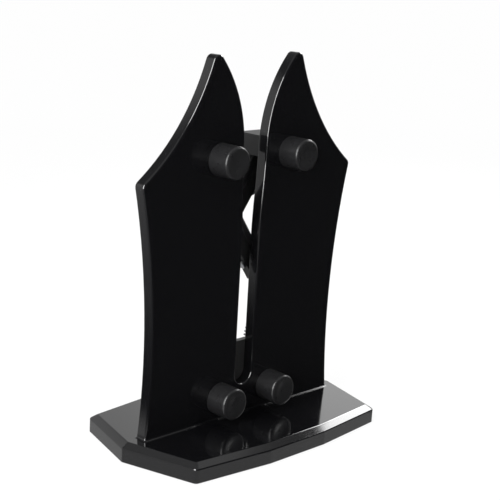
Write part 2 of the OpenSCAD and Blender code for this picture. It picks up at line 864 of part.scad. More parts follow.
// Rubber sleeves on the frame's stop pins
module stop_sleeves(p) {
    color([0.08, 0.08, 0.08])
        for (side = [-1, 1]) on(side)
            ring_y(p.x, stop_sleeve_y, p.y, stop_r, stop_pin_r, stop_pin_end - stop_sleeve_y);
}

module rest_stops() {
    stop_sleeves(rest_stop);
}

module travel_stops() {
    stop_sleeves(travel_stop);
}

base_plate();
base_ballast();
non_slip_pad();
upright_frame();
frame_screws();
rear_brace();
brace_screws();
left_pivot_cap();
right_pivot_cap();
left_anchor_cap();
right_anchor_cap();
left_pivot_bolt();
right_pivot_bolt();
left_anchor_bolt();
right_anchor_bolt();
front_washers();
rear_washers();
pivot_nuts();
anchor_sleeves();
anchor_washers();
anchor_nuts();
left_arm();
right_arm();
left_bush();
right_bush();
left_sharpening_bar();
right_sharpening_bar();
left_bar_screws();
right_bar_screws();
left_spring_stud();
right_spring_stud();
left_spring();
right_spring();
rest_stops();
travel_stops();
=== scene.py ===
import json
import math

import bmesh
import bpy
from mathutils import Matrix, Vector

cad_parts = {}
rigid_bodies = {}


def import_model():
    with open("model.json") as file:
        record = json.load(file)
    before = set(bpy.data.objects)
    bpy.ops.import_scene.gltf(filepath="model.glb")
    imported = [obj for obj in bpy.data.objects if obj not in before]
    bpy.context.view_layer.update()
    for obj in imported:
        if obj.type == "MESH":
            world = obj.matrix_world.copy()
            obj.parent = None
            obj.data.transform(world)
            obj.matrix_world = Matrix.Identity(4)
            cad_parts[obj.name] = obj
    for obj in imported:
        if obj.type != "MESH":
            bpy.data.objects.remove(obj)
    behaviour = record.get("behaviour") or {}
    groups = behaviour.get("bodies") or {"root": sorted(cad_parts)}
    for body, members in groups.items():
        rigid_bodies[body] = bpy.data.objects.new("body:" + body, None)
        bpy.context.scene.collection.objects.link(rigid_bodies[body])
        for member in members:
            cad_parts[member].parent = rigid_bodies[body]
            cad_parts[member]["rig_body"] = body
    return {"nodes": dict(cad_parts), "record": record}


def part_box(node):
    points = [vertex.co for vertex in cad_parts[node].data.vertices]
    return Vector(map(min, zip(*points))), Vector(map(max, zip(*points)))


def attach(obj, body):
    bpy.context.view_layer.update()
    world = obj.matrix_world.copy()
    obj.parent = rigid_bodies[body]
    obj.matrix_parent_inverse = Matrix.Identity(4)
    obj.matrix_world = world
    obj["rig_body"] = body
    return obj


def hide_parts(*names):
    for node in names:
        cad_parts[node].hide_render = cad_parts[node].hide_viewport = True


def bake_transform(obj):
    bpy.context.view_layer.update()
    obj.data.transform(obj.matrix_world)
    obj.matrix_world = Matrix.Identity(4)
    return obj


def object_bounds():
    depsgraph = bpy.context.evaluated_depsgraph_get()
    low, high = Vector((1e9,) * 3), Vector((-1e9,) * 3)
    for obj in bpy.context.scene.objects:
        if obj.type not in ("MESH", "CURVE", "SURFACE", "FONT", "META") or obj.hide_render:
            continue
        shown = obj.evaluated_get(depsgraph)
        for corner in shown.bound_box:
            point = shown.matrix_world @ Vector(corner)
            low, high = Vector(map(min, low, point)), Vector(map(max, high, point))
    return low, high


bl_info = {
    "name": "Knife sharpener",
    "version": (1, 0, 0),
    "blender": (4, 5, 0),
    "location": "3D View > Sidebar > Sharpener",
    "description": "Models the visible pieces of an upright knife sharpener and gives them their finishes",
    "category": "Object",
}

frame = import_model()

MM = 0.001
NODES = frame["nodes"]
SLOT_OF = {part["node"]: part["material_slot"] for part in frame["record"]["subparts"]}
CAD_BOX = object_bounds()
SIDES = ("left", "right")
CAPS = ("pivot_cap", "anchor_cap")

# Planes that the pieces share, read from the frame
FRAME_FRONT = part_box("left_pivot_cap")[1].y
FRAME_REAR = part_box("front_washers")[0].y
BASE_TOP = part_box("base_plate")[1].z

# Distance within which a vert lies on a plane, and within which two verts are one
NEAR = 0.02 * MM
SAME_PLACE = 0.001 * MM

# Least part of a normal along an axis for a face that looks that way, and for one that is square to it
FACING = 0.9
SQUARE = 0.99

# Degrees up to which faces are merged, from which edges are rounded, and up to which shading is smooth
FLAT_ANGLE = 0.4
SHARP_ANGLE = 38
SMOOTH_ANGLE = 32

# The frame: a boss's share of a cap's radius, a pin's of a stop's, and a pin's rounded share and sides
BOSS_SHARE = 0.78
PIN_SHARE = 0.66
PIN_ROUND = 0.25
PIN_SIDES = 40

# The frame's foot: how high its flange is, and the fillet's share of the flange's width
FLANGE_RISE = 0.05 * MM
FILLET_SHARE = 0.95

# Least and greatest rise of the normals of the base's bevel
BEVEL_LOW = 0.3
BEVEL_HIGH = 0.95

# The pad: a groove's share of the pitch, and its depth as a share of the thickness
GROOVE_SHARE = 0.4
GROOVE_DEPTH = 0.2

# The caps: sides, wall and ring beside the rim as shares of the radius, and floor as a share of the length
CAP_SIDES = 96
CAP_WALL = 0.17
CAP_RING = 0.02
CAP_FLOOR = 0.2

# The caps: the dish's margin and the back's rounding in roundings of the rim, and the dish's steps as shares
DISH_MARGIN = 1.3
REAR_RIM = 0.3
DISH_STEPS = (0.12, 0.26, 0.3, 0.2, 0.12)

# Rounding of the bars and of the brace as shares of the metal edges' rounding
BAR_ROUND = 1.2
BRACE_ROUND = 2

# Half a socket's width as a share of its screw head's radius
SOCKET_SHARE = 0.5

# The springs: the coil's share of the span, the neck's rise and reach in radii, and a hook's turn in degrees
COIL_SHARE = 0.7147
NECK_RISE = 1.2
NECK_REACH = 0.75
HOOK_TURN = 270

# Points along the wire in a hook, a curl and a neck, the roundness of its section, and its smooth angle
HOOK_STEPS = 30
CURL_STEPS = 24
NECK_STEPS = 13
WIRE_RESOLUTION = 4
WIRE_ANGLE = 50

# The lamps: where each stands, its width and height, and where the left one points
RIGHT_PLACE = (0.70, 0.03, 0.50)
RIGHT_SIZE = (0.76, 0.172)
LEFT_PLACE = (-0.62, -0.17, 0.45)
LEFT_SIZE = (0.46, 0.80)
LEFT_TARGET = (0, -0.17, 0.45)
TOP_PLACE = (-0.2, -0.1, 0.9)
TOP_SIZE = (0.5, 0.5)

# The camera's sensor in millimetres and its nearest distance, and the floor's size and grey
SENSOR = 36
CLIP_START = 0.01
FLOOR_SIZE = 40
FLOOR_GREY = 0.82

# The floor as a camera sees it: how white it is near the object, what distance adds, and from where to where
WHITE_NEAR = 0.85
WHITE_ADDED = 0.12
WHITE_EDGE = (0.35, 1.2)

# The floor in reflections: brightness of its dark part, of the band round the object and of its back left
MIRRORED_DARK = 0.015
MIRRORED_BAND = 0.36
MIRRORED_BACK = 0.34

# Where the band's front, right and outer edges and the back left's side and inner edges start and end
BAND_FRONT = (-0.058, -0.0535)
BAND_RIGHT = (0.068, 0.078)
BAND_OUTER = (0.1, 0.14)
BACK_SIDE = (-0.05, 0.1)
BACK_INNER = (0.15, 0.38)

# The way to the back left on the floor: its share along y, and against x
BACK_SHARE = 0.68
LEFT_SHARE = 0.7

# The room in reflections: brightness of the dark, the wall, its brighter part, the ceiling and its panel
ROOM_DARK = 0.03
WALL_DIM = 0.45
WALL_ADDED = 0.5
CEILING = 0.25
PANEL = 0.2

# Where the edges of the room's parts start and end, as parts of a direction of length 1
WALL_SPLIT = (0.1, 0.3)
WALL_RIGHT = (-0.45, -0.15)
WALL_LEFT = (-0.1, 0.35)
WALL_BRIGHT = (-0.15, 0.12)
WALL_TOP = (0.42, 0.68)
CEILING_EDGE = (0.6, 0.85)
PANEL_SIDE = (0.35, 0.5)
PANEL_EDGE = (0.76, 0.8)

# How strongly the plastics and the filled nylon mirror, and how soft a scratch's edge is
PLASTIC_IOR = 1.5
NYLON_IOR = 1.46
SCRATCH_EDGE = 0.05


class SharpenerSizes(bpy.types.PropertyGroup):
    """Sizes of the details that are modelled round the frame."""

    edge_round: bpy.props.FloatProperty(
        name="Frame's front edges",
        description="Rounding of the edges round the upright frame's front",
        default=1.05 * MM,
        min=0.2 * MM,
        max=1.6 * MM,
        unit="LENGTH",
        subtype="DISTANCE",
    )
    rear_round: bpy.props.FloatProperty(
        name="Frame's rear edges",
        description="Rounding of the edges round the upright frame's back",
        default=0.5 * MM,
        min=0.2 * MM,
        max=1.2 * MM,
        unit="LENGTH",
        subtype="DISTANCE",
    )
    foot_fillet: bpy.props.FloatProperty(
        name="Foot fillet",
        description="Width of the fillet where the upright frame meets the base",
        default=1 * MM,
        min=0.2 * MM,
        max=1.5 * MM,
        unit="LENGTH",
        subtype="DISTANCE",
    )
    base_round: bpy.props.FloatProperty(
        name="Base edges",
        description="Rounding of the edges of the base and its bevel",
        default=0.4 * MM,
        min=0.1 * MM,
        max=0.8 * MM,
        unit="LENGTH",
        subtype="DISTANCE",
    )
    cap_rim: bpy.props.FloatProperty(
        name="Cap rim",
        description="Rounding of the rim of a front cap",
        default=1.4 * MM,
        min=0.4 * MM,
        max=1.8 * MM,
        unit="LENGTH",
        subtype="DISTANCE",
    )
    cap_dish: bpy.props.FloatProperty(
        name="Cap dish",
        description="Depth of the dish in a front cap's end",
        default=0.5 * MM,
        min=0.2 * MM,
        max=1 * MM,
        unit="LENGTH",
        subtype="DISTANCE",
    )
    arm_round: bpy.props.FloatProperty(
        name="Arm edges",
        description="Rounding of the edges of the moulded arms",
        default=0.5 * MM,
        min=0.1 * MM,
        max=0.8 * MM,
        unit="LENGTH",
        subtype="DISTANCE",
    )
    metal_round: bpy.props.FloatProperty(
        name="Metal edges",
        description="Rounding of the edges of washers, nuts, studs and bars",
        default=0.15 * MM,
        min=0.05 * MM,
        max=0.3 * MM,
        unit="LENGTH",
        subtype="DISTANCE",
    )
    wire_radius: bpy.props.FloatProperty(
        name="Spring wire",
        description="Radius of the wire of the two springs",
        default=0.55 * MM,
        min=0.4 * MM,
        max=0.6 * MM,
        unit="LENGTH",
        subtype="DISTANCE",
    )
    curls: bpy.props.IntProperty(
        name="Curls",
        description="Number of curls in each spring",
        default=28,
        min=20,
        max=29,
    )
    pad_ribs: bpy.props.IntProperty(
        name="Pad ribs",
        description="Number of grip ribs on each side of the middle of the pad's underside",
        default=9,
        min=3,
        max=14,
    )


class SharpenerColours(bpy.types.PropertyGroup):
    """Colours of the finishes."""

    gloss: bpy.props.FloatVectorProperty(
        name="Frame and base",
        description="Colour of the polished plastic",
        default=(0.0022, 0.0022, 0.0026),
        min=0,
        max=1,
        subtype="COLOR",
    )
    cap: bpy.props.FloatVectorProperty(
        name="Caps",
        description="Colour of the satin caps",
        default=(0.008, 0.008, 0.0085),
        min=0,
        max=1,
        subtype="COLOR",
    )
    arm: bpy.props.FloatVectorProperty(
        name="Arms",
        description="Colour of the moulded arms",
        default=(0.014, 0.014, 0.0145),
        min=0,
        max=1,
        subtype="COLOR",
    )
    rubber: bpy.props.FloatVectorProperty(
        name="Rubber",
        description="Colour of the pad and the stops",
        default=(0.02, 0.02, 0.021),
        min=0,
        max=1,
        subtype="COLOR",
    )


class SharpenerStudio(bpy.types.PropertyGroup):
    """The camera and the light."""

    lens: bpy.props.FloatProperty(
        name="Lens",
        description="Focal length of the camera in millimetres, on a 36 mm sensor",
        default=88.15,
        min=20,
        max=200,
    )
    place: bpy.props.FloatVectorProperty(
        name="Camera place",
        description="Where the camera stands",
        default=(-0.40023, -0.39626, 0.22883),
        unit="LENGTH",
        subtype="TRANSLATION",
    )
    turn: bpy.props.FloatProperty(
        name="Camera turn",
        description="How far the camera is turned from looking straight at the front",
        default=math.radians(-45.57),
        unit="ROTATION",
        subtype="ANGLE",
    )
    tilt: bpy.props.FloatProperty(
        name="Camera tilt",
        description="How far the camera looks down",
        default=math.radians(13.87),
        unit="ROTATION",
        subtype="ANGLE",
    )
    roll: bpy.props.FloatProperty(
        name="Camera roll",
        description="How far the camera leans to its side",
        default=math.radians(3.234),
        unit="ROTATION",
        subtype="ANGLE",
    )
    right_glow: bpy.props.FloatProperty(
        name="Right softbox",
        description="Brightness of the softbox on the right, where 1 is white",
        default=7.5,
        min=0,
        max=30,
    )
    left_glow: bpy.props.FloatProperty(
        name="Left softbox",
        description="Brightness of the softbox on the left, where 1 is white",
        default=9,
        min=0,
        max=30,
    )
    top_glow: bpy.props.FloatProperty(
        name="Top softbox",
        description="Brightness of the softbox above, where 1 is white",
        default=1.5,
        min=0,
        max=30,
    )
    ambient: bpy.props.FloatProperty(
        name="Ambient light",
        description="Brightness of the room that lights the object from all round, where 1 is white",
        default=0.8,
        min=0,
        max=1,
    )


class Value:
    """A socket in a shader, with Python's operators for the Math nodes that follow it."""

    def __init__(self, finish, socket):
        self.finish = finish
        self.socket = socket

    def maths(self, operation, *numbers):
        return self.finish.node("Math", {"operation": operation}, dict(enumerate(numbers)))

    def __add__(self, other):
        return self.maths("ADD", self, other)

    __radd__ = __add__

    def __sub__(self, other):
        return self.maths("SUBTRACT", self, other)

    def __rsub__(self, other):
        return self.maths("SUBTRACT", other, self)

    def __mul__(self, other):
        return self.maths("MULTIPLY", self, other)

    __rmul__ = __mul__

    def step(self, low, high):
        """0 below low, 1 above high and a smooth rise between them."""
        settings = {"interpolation_type": "SMOOTHSTEP"}
        return self.finish.node("MapRange", settings, {0: self, 1: low, 2: high, 3: 0.0, 4: 1.0})


class Finish:
    """A node tree in the making, for a material or for the world."""

    def __init__(self, owner):
        owner.use_nodes = True
        self.tree = owner.node_tree
        self.tree.nodes.clear()

    def node(self, kind, settings, sockets, output=0):
        """Adds one node: its settings first, then the values or links of its sockets."""
        made = self.tree.nodes.new("ShaderNode" + kind)
        for name, value in settings.items():
            setattr(made, name, value)
        for name, value in sockets.items():
            if isinstance(value, Value):
                self.tree.links.new(value.socket, made.inputs[name])
            else:
                made.inputs[name].default_value = value
        return Value(self, made.outputs[output]) if made.outputs else None

    def place(self, stretch=(1, 1, 1), turn=(0, 0, 0)):
        """Object coordinates, turned and then stretched."""
        where = self.node("TexCoord", {}, {}, "Object")
        if turn != (0, 0, 0):
            where = self.node("Mapping", {"vector_type": "POINT"}, {"Vector": where, "Rotation": turn})
        return self.node("Mapping", {"vector_type": "POINT"}, {"Vector": where, "Scale": stretch})

    def noise(self, size, detail=4.0, where=None):
        """Noise from 0 to 1 whose lumps are about size metres across."""
        sockets = {"Vector": where or self.place(), "Scale": 1 / size, "Detail": detail}
        return self.node("TexNoise", {}, sockets)

    def cells(self, size, feature="F1", output="Distance"):
        """Cells about size metres across."""
        sockets = {"Vector": self.place(), "Scale": 1 / size}
        return self.node("TexVoronoi", {"feature": feature}, sockets, output)

    def scratches(self, length, thin, turn, share):
        """Fine scratches along one direction: 1 on a scratch and 0 elsewhere."""
        lines = self.noise(1, detail=2.0, where=self.place((1 / length, 1 / thin, 1 / thin), turn))
        return lines.step(1 - share, 1 - share + SCRATCH_EDGE)

    def mix(self, share, first, second):
        """Colour between two colours."""
        # A Mix node's colours are its inputs 6 and 7 and its output 2
        settings = {"data_type": "RGBA", "blend_type": "MIX"}
        return self.node("Mix", settings, {0: share, 6: first, 7: second}, 2)

    def bump(self, height, reach, before=None):
        """Normal that follows a height, which is 1 at reach metres."""
        sockets = {"Height": height, "Distance": reach, "Strength": 1.0}
        if before:
            sockets["Normal"] = before
        return self.node("Bump", {}, sockets)

    def surface(self, sockets):
        """Ends a material with the one shader that its surface has."""
        shader = self.node("BsdfPrincipled", {}, sockets)
        self.node("OutputMaterial", {}, {"Surface": shader})


def grey(level):
    """A neutral colour."""
    return (level, level, level, 1.0)


def tint(name, times):
    """One of the panel's colours made lighter or darker, as four numbers."""
    colour = getattr(bpy.context.scene.sharpener_colours, name)
    return tuple(min(1.0, channel * times) for channel in colour) + (1.0,)


def gloss_black(finish):
    """Polished black plastic, with faint sink marks, hairline scratches and fingertip smears."""
    smear = finish.noise(22 * MM, detail=3.0).step(0.5, 0.72)
    haze = finish.noise(2.4 * MM, detail=6.0)
    hairs = finish.scratches(18 * MM, 0.12 * MM, turn=(0.3, 0.5, 0.9), share=0.24)
    dust = 1 - finish.cells(1.7 * MM).step(0.02, 0.05)
    sink = finish.noise(14 * MM, detail=1.0)
    colour = finish.mix(haze * 0.5, tint("gloss", 1), tint("gloss", 1.8))
    colour = finish.mix(dust * 0.3, colour, grey(0.06))
    normal = finish.bump(sink, reach=0.02 * MM)
    normal = finish.bump(haze, reach=0.0005 * MM, before=normal)
    finish.surface({
        "Base Color": colour,
        "Roughness": 0.1 + 0.06 * smear * haze + 0.1 * hairs + 0.2 * dust,
        "Normal": normal,
        "IOR": PLASTIC_IOR,
        "Coat Weight": 1.0,
        "Coat Roughness": 0.08,
    })


def cap_black(finish):
    """Satin black plastic with a fine moulded grain and rubbed high spots."""
    grain = finish.noise(0.28 * MM, detail=3.0)
    cloud = finish.noise(5 * MM, detail=4.0)
    rubbed = finish.noise(3 * MM, detail=5.0).step(0.52, 0.7)
    hairs = finish.scratches(5 * MM, 0.1 * MM, turn=(0.7, 0.2, 0.4), share=0.22)
    colour = finish.mix(cloud, tint("cap", 0.8), tint("cap", 1.5))
    colour = finish.mix(hairs * 0.4, colour, tint("cap", 3))
    finish.surface({
        "Base Color": colour,
        "Roughness": 0.27 + 0.1 * grain - 0.06 * rubbed + 0.08 * hairs,
        "Normal": finish.bump(grain, reach=0.012 * MM),
        "IOR": PLASTIC_IOR,
    })


def arm_black(finish):
    """Glass-filled black nylon: pale fibre flecks under a dull, slightly pitted skin."""
    fibres = finish.scratches(1.6 * MM, 0.09 * MM, turn=(0.2, 0.9, 0.1), share=0.33)
    pits = finish.noise(0.35 * MM, detail=4.0)
    flow = finish.noise(9 * MM, detail=3.0)
    colour = finish.mix(flow, tint("arm", 0.8), tint("arm", 1.35))
    colour = finish.mix(fibres * 0.2, colour, grey(0.08))
    finish.surface({
        "Base Color": colour,
        "Roughness": 0.36 + 0.14 * pits + 0.06 * fibres,
        "Normal": finish.bump(pits, reach=0.02 * MM),
        "IOR": NYLON_IOR,
    })


def brace_black(finish):
    """Powder-coated steel: orange peel, cloudy black and a few rubbed places."""
    dark = grey(0.014)
    light = grey(0.024)
    worn = grey(0.075)
    peel = finish.cells(0.9 * MM, "SMOOTH_F1")
    cloud = finish.noise(12 * MM, detail=4.0)
    rubs = finish.scratches(7 * MM, 0.2 * MM, turn=(0.1, 0.4, 0.6), share=0.24)
    colour = finish.mix(cloud, dark, light)
    colour = finish.mix(rubs * 0.5, colour, worn)
    finish.surface({
        "Base Color": colour,
        "Roughness": 0.3 + 0.12 * cloud + 0.1 * rubs,
        "Normal": finish.bump(peel, reach=0.03 * MM),
        "IOR": PLASTIC_IOR,
    })


def ballast_steel(finish):
    """Hot-rolled steel plate with patches of blue scale."""
    blue = (0.2, 0.2, 0.22, 1)
    bare = (0.36, 0.35, 0.34, 1)
    rust = (0.16, 0.11, 0.08, 1)
    scale = finish.noise(6 * MM, detail=6.0).step(0.42, 0.6)
    grit = finish.noise(0.5 * MM, detail=4.0)
    colour = finish.mix(scale, blue, bare)
    colour = finish.mix(grit * 0.35, colour, rust)
    finish.surface({
        "Base Color": colour,
        "Metallic": 1.0,
        "Roughness": 0.62 - 0.2 * scale + 0.1 * grit,
        "Normal": finish.bump(grit, reach=0.02 * MM),
    })


def zinc_steel(finish):
    """Zinc-plated steel: crystal patches, a trace of yellow and turning marks."""
    dark = (0.5, 0.52, 0.55, 1)
    light = (0.68, 0.69, 0.71, 1)
    yellow = (0.58, 0.54, 0.42, 1)
    patch = finish.cells(0.8 * MM, "F1", "Color")
    shade = finish.node("RGBToBW", {}, {0: patch})
    wear = finish.noise(1.6 * MM, detail=5.0)
    stretch = (1 / (3 * MM), 1 / (0.1 * MM), 1 / (3 * MM))
    marks = finish.noise(1, detail=2.0, where=finish.place(stretch))
    colour = finish.mix(shade, dark, light)
    colour = finish.mix(wear.step(0.5, 0.75) * 0.45, colour, yellow)
    finish.surface({
        "Base Color": colour,
        "Metallic": 1.0,
        "Roughness": 0.22 + 0.14 * wear + 0.06 * shade,
        "Normal": finish.bump(marks, reach=0.006 * MM),
    })


def spring_steel(finish):
    """Drawn spring wire with an oily sheen and dark streaks."""
    dark = (0.3, 0.31, 0.33, 1)
    light = (0.56, 0.57, 0.59, 1)
    brown = (0.36, 0.32, 0.26, 1)
    streaks = finish.noise(0.5 * MM, detail=5.0)
    oil = finish.noise(7 * MM, detail=3.0)
    colour = finish.mix(streaks, dark, light)
    colour = finish.mix(oil.step(0.5, 0.7) * 0.4, colour, brown)
    finish.surface({
        "Base Color": colour,
        "Metallic": 1.0,
        "Roughness": 0.24 + 0.18 * streaks,
        "Normal": finish.bump(streaks, reach=0.008 * MM),
    })


def carbide(finish):
    """Ground carbide: grinding lines across the bar and dark grain between them."""
    dark = (0.2, 0.2, 0.21, 1)
    light = (0.4, 0.4, 0.42, 1)
    place = finish.node("TexCoord", {}, {}, "Object")
    parts = {axis: finish.node("SeparateXYZ", {}, {0: place}, axis) for axis in "XYZ"}
    mirrored = parts["X"].maths("ABSOLUTE", parts["X"])
    where = finish.node("CombineXYZ", {}, {"X": mirrored, "Y": parts["Y"], "Z": parts["Z"]})
    grain = finish.noise(0.25 * MM, detail=4.0)
    stretch = (1 / (0.12 * MM), 1 / (6 * MM), 1 / (6 * MM))
    stretched = finish.node("Mapping", {"vector_type": "POINT"}, {"Vector": where, "Scale": stretch})
    lines = finish.noise(1, detail=3.0, where=stretched)
    colour = finish.mix(grain, dark, light)
    finish.surface({
        "Base Color": colour,
        "Metallic": 1.0,
        "Roughness": 0.3 + 0.16 * lines,
        "Normal": finish.bump(lines, reach=0.012 * MM),
    })


def bronze(finish):
    """Sintered bronze with open pores that hold oil."""
    dark = (0.5, 0.32, 0.13, 1)
    light = (0.68, 0.47, 0.22, 1)
    oily = (0.1, 0.06, 0.03, 1)
    pores = 1 - finish.cells(0.4 * MM).step(0.12, 0.3)
    warm = finish.noise(3 * MM, detail=4.0)
    colour = finish.mix(warm, dark, light)
    colour = finish.mix(pores * 0.8, colour, oily)
    finish.surface({
        "Base Color": colour,
        "Metallic": 1.0,
        "Roughness": 0.34 + 0.2 * pores,
        "Normal": finish.bump(1 - pores, reach=0.02 * MM),
    })


def rubber(finish, grain_size, dust_level):
    """Black rubber, dull and grained, with pale dust in its hollows."""
    grain = finish.noise(grain_size, detail=5.0)
    bloom = finish.noise(8 * MM, detail=4.0).step(0.45, 0.75)
    colour = finish.mix(bloom * dust_level, tint("rubber", 1), grey(0.06))
    colour = finish.mix(grain.step(0.45, 0.7) * 0.4, colour, tint("rubber", 1.8))
    finish.surface({
        "Base Color": colour,
        "Roughness": 0.68 + 0.2 * grain,
        "Normal": finish.bump(grain, reach=0.05 * MM),
        "IOR": PLASTIC_IOR,
    })


def pad_rubber(finish):
    """Foamed rubber of the non-slip pad."""
    rubber(finish, grain_size=0.6 * MM, dust_level=0.6)


def stop_rubber(finish):
    """Moulded rubber of the stop sleeves."""
    rubber(finish, grain_size=0.25 * MM, dust_level=0.35)


# A finish has the name of the record's material slot that it is for
FINISHES = (
    gloss_black,
    cap_black,
    arm_black,
    brace_black,
    ballast_steel,
    zinc_steel,
    spring_steel,
    carbide,
    bronze,
    pad_rubber,
    stop_rubber,
)
FINISH_OF = {finish.__name__: finish for finish in FINISHES}


def material_for(slot):
    """The material of one of the record's slots, made the first time that it is asked for."""
    found = bpy.data.materials.get("finish_" + slot)
    if found:
        return found
    material = bpy.data.materials.new("finish_" + slot)
    FINISH_OF[slot](Finish(material))
    return material


def paint(piece, slot):
    """Gives a piece the finish of one slot and no other."""
    piece.data.materials.clear()
    piece.data.materials.append(material_for(slot))


def middle(node):
    """Middle of a node's box."""
    low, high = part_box(node)
    return (low + high) / 2


def only(piece):
    """Makes a piece the one selected and active object."""
    bpy.ops.object.select_all(action="DESELECT")
    piece.select_set(True)
    bpy.context.view_layer.objects.active = piece


def edit(piece, kind):
    """Opens a piece in edit mode with nothing selected; kind is VERT, EDGE or FACE."""
    only(piece)
    bpy.ops.object.mode_set(mode="EDIT")
    bpy.ops.mesh.select_mode(type=kind)
    bpy.ops.mesh.select_all(action="DESELECT")


def leave():
    """Closes edit mode."""
    bpy.ops.object.mode_set(mode="OBJECT")


def pick(piece, kind, test):
    """Selects the verts, edges or faces that pass a test, and nothing else."""
    bpy.ops.mesh.select_mode(type=kind)
    bpy.ops.mesh.select_all(action="DESELECT")
    mesh = bmesh.from_edit_mesh(piece.data)
    mesh.normal_update()
    for part in {"VERT": mesh.verts, "EDGE": mesh.edges, "FACE": mesh.faces}[kind]:
        if test(part):
            part.select_set(True)
    mesh.select_flush_mode()
    bmesh.update_edit_mesh(piece.data)


def pick_all():
    """Selects the whole mesh."""
    bpy.ops.mesh.select_all(action="SELECT")


def cylinder(sides, radius, length, place):
    """A new cylinder along y, with its place in its mesh."""
    bpy.ops.object.select_all(action="DESELECT")
    bpy.ops.mesh.primitive_cylinder_add(
        vertices=sides,
        radius=radius,
        depth=length,
        location=place,
        rotation=(math.pi / 2, 0, 0),
    )
    bpy.ops.object.transform_apply(location=True, rotation=True, scale=True)
    return bpy.context.object


def extrude(*way):
    """Extrudes the selected faces and moves them."""
    bpy.ops.mesh.extrude_region_move(TRANSFORM_OT_translate={"value": way})


def round_edges(width, segments):
    """Rounds the selected edges."""
    bpy.ops.mesh.bevel(offset=width, segments=segments, profile=0.5, affect="EDGES", clamp_overlap=False)


def merged_copy(node, name):
    """A copy of a node's mesh as a piece of its own, with its loose triangles merged into flat faces."""
    piece = bpy.data.objects.new(name, NODES[node].data.copy())
    bpy.context.scene.collection.objects.link(piece)
    piece.data.materials.clear()
    edit(piece, "VERT")
    pick_all()
    bpy.ops.mesh.remove_doubles(threshold=SAME_PLACE)
    bpy.ops.mesh.dissolve_limited(angle_limit=math.radians(FLAT_ANGLE))
    leave()
    return piece


def apply_modifier(piece, kind, **settings):
    """Adds a modifier, sets it and applies it."""
    modifier = piece.modifiers.new(kind.title(), kind)
    for name, value in settings.items():
        setattr(modifier, name, value)
    only(piece)
    bpy.ops.object.modifier_apply(modifier=modifier.name)


def smooth(piece, angle=SMOOTH_ANGLE):
    """Smooths a piece up to an angle, with its flat faces kept flat beside its round edges."""
    only(piece)
    bpy.ops.object.shade_smooth_by_angle(angle=math.radians(angle))
    apply_modifier(piece, "WEIGHTED_NORMAL", mode="FACE_AREA", weight=50, keep_sharp=True)


def stand_for(piece, node, rides=True):
    """Gives a finished piece its node's slot and finish, and the node's body where it rides on one."""
    slot = SLOT_OF[node]
    paint(piece, slot)
    if rides:
        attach(piece, NODES[node]["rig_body"])
    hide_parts(node)
    return piece


def rounded_copy(node, name, width, segments=2):
    """A copy of a node with its sharp edges rounded."""
    piece = merged_copy(node, name)
    apply_modifier(
        piece,
        "BEVEL",
        width=width,
        segments=segments,
        limit_method="ANGLE",
        angle_limit=math.radians(SHARP_ANGLE),
        use_clamp_overlap=True,
        miter_outer="MITER_ARC",
    )
    smooth(piece)
    return stand_for(piece, node)


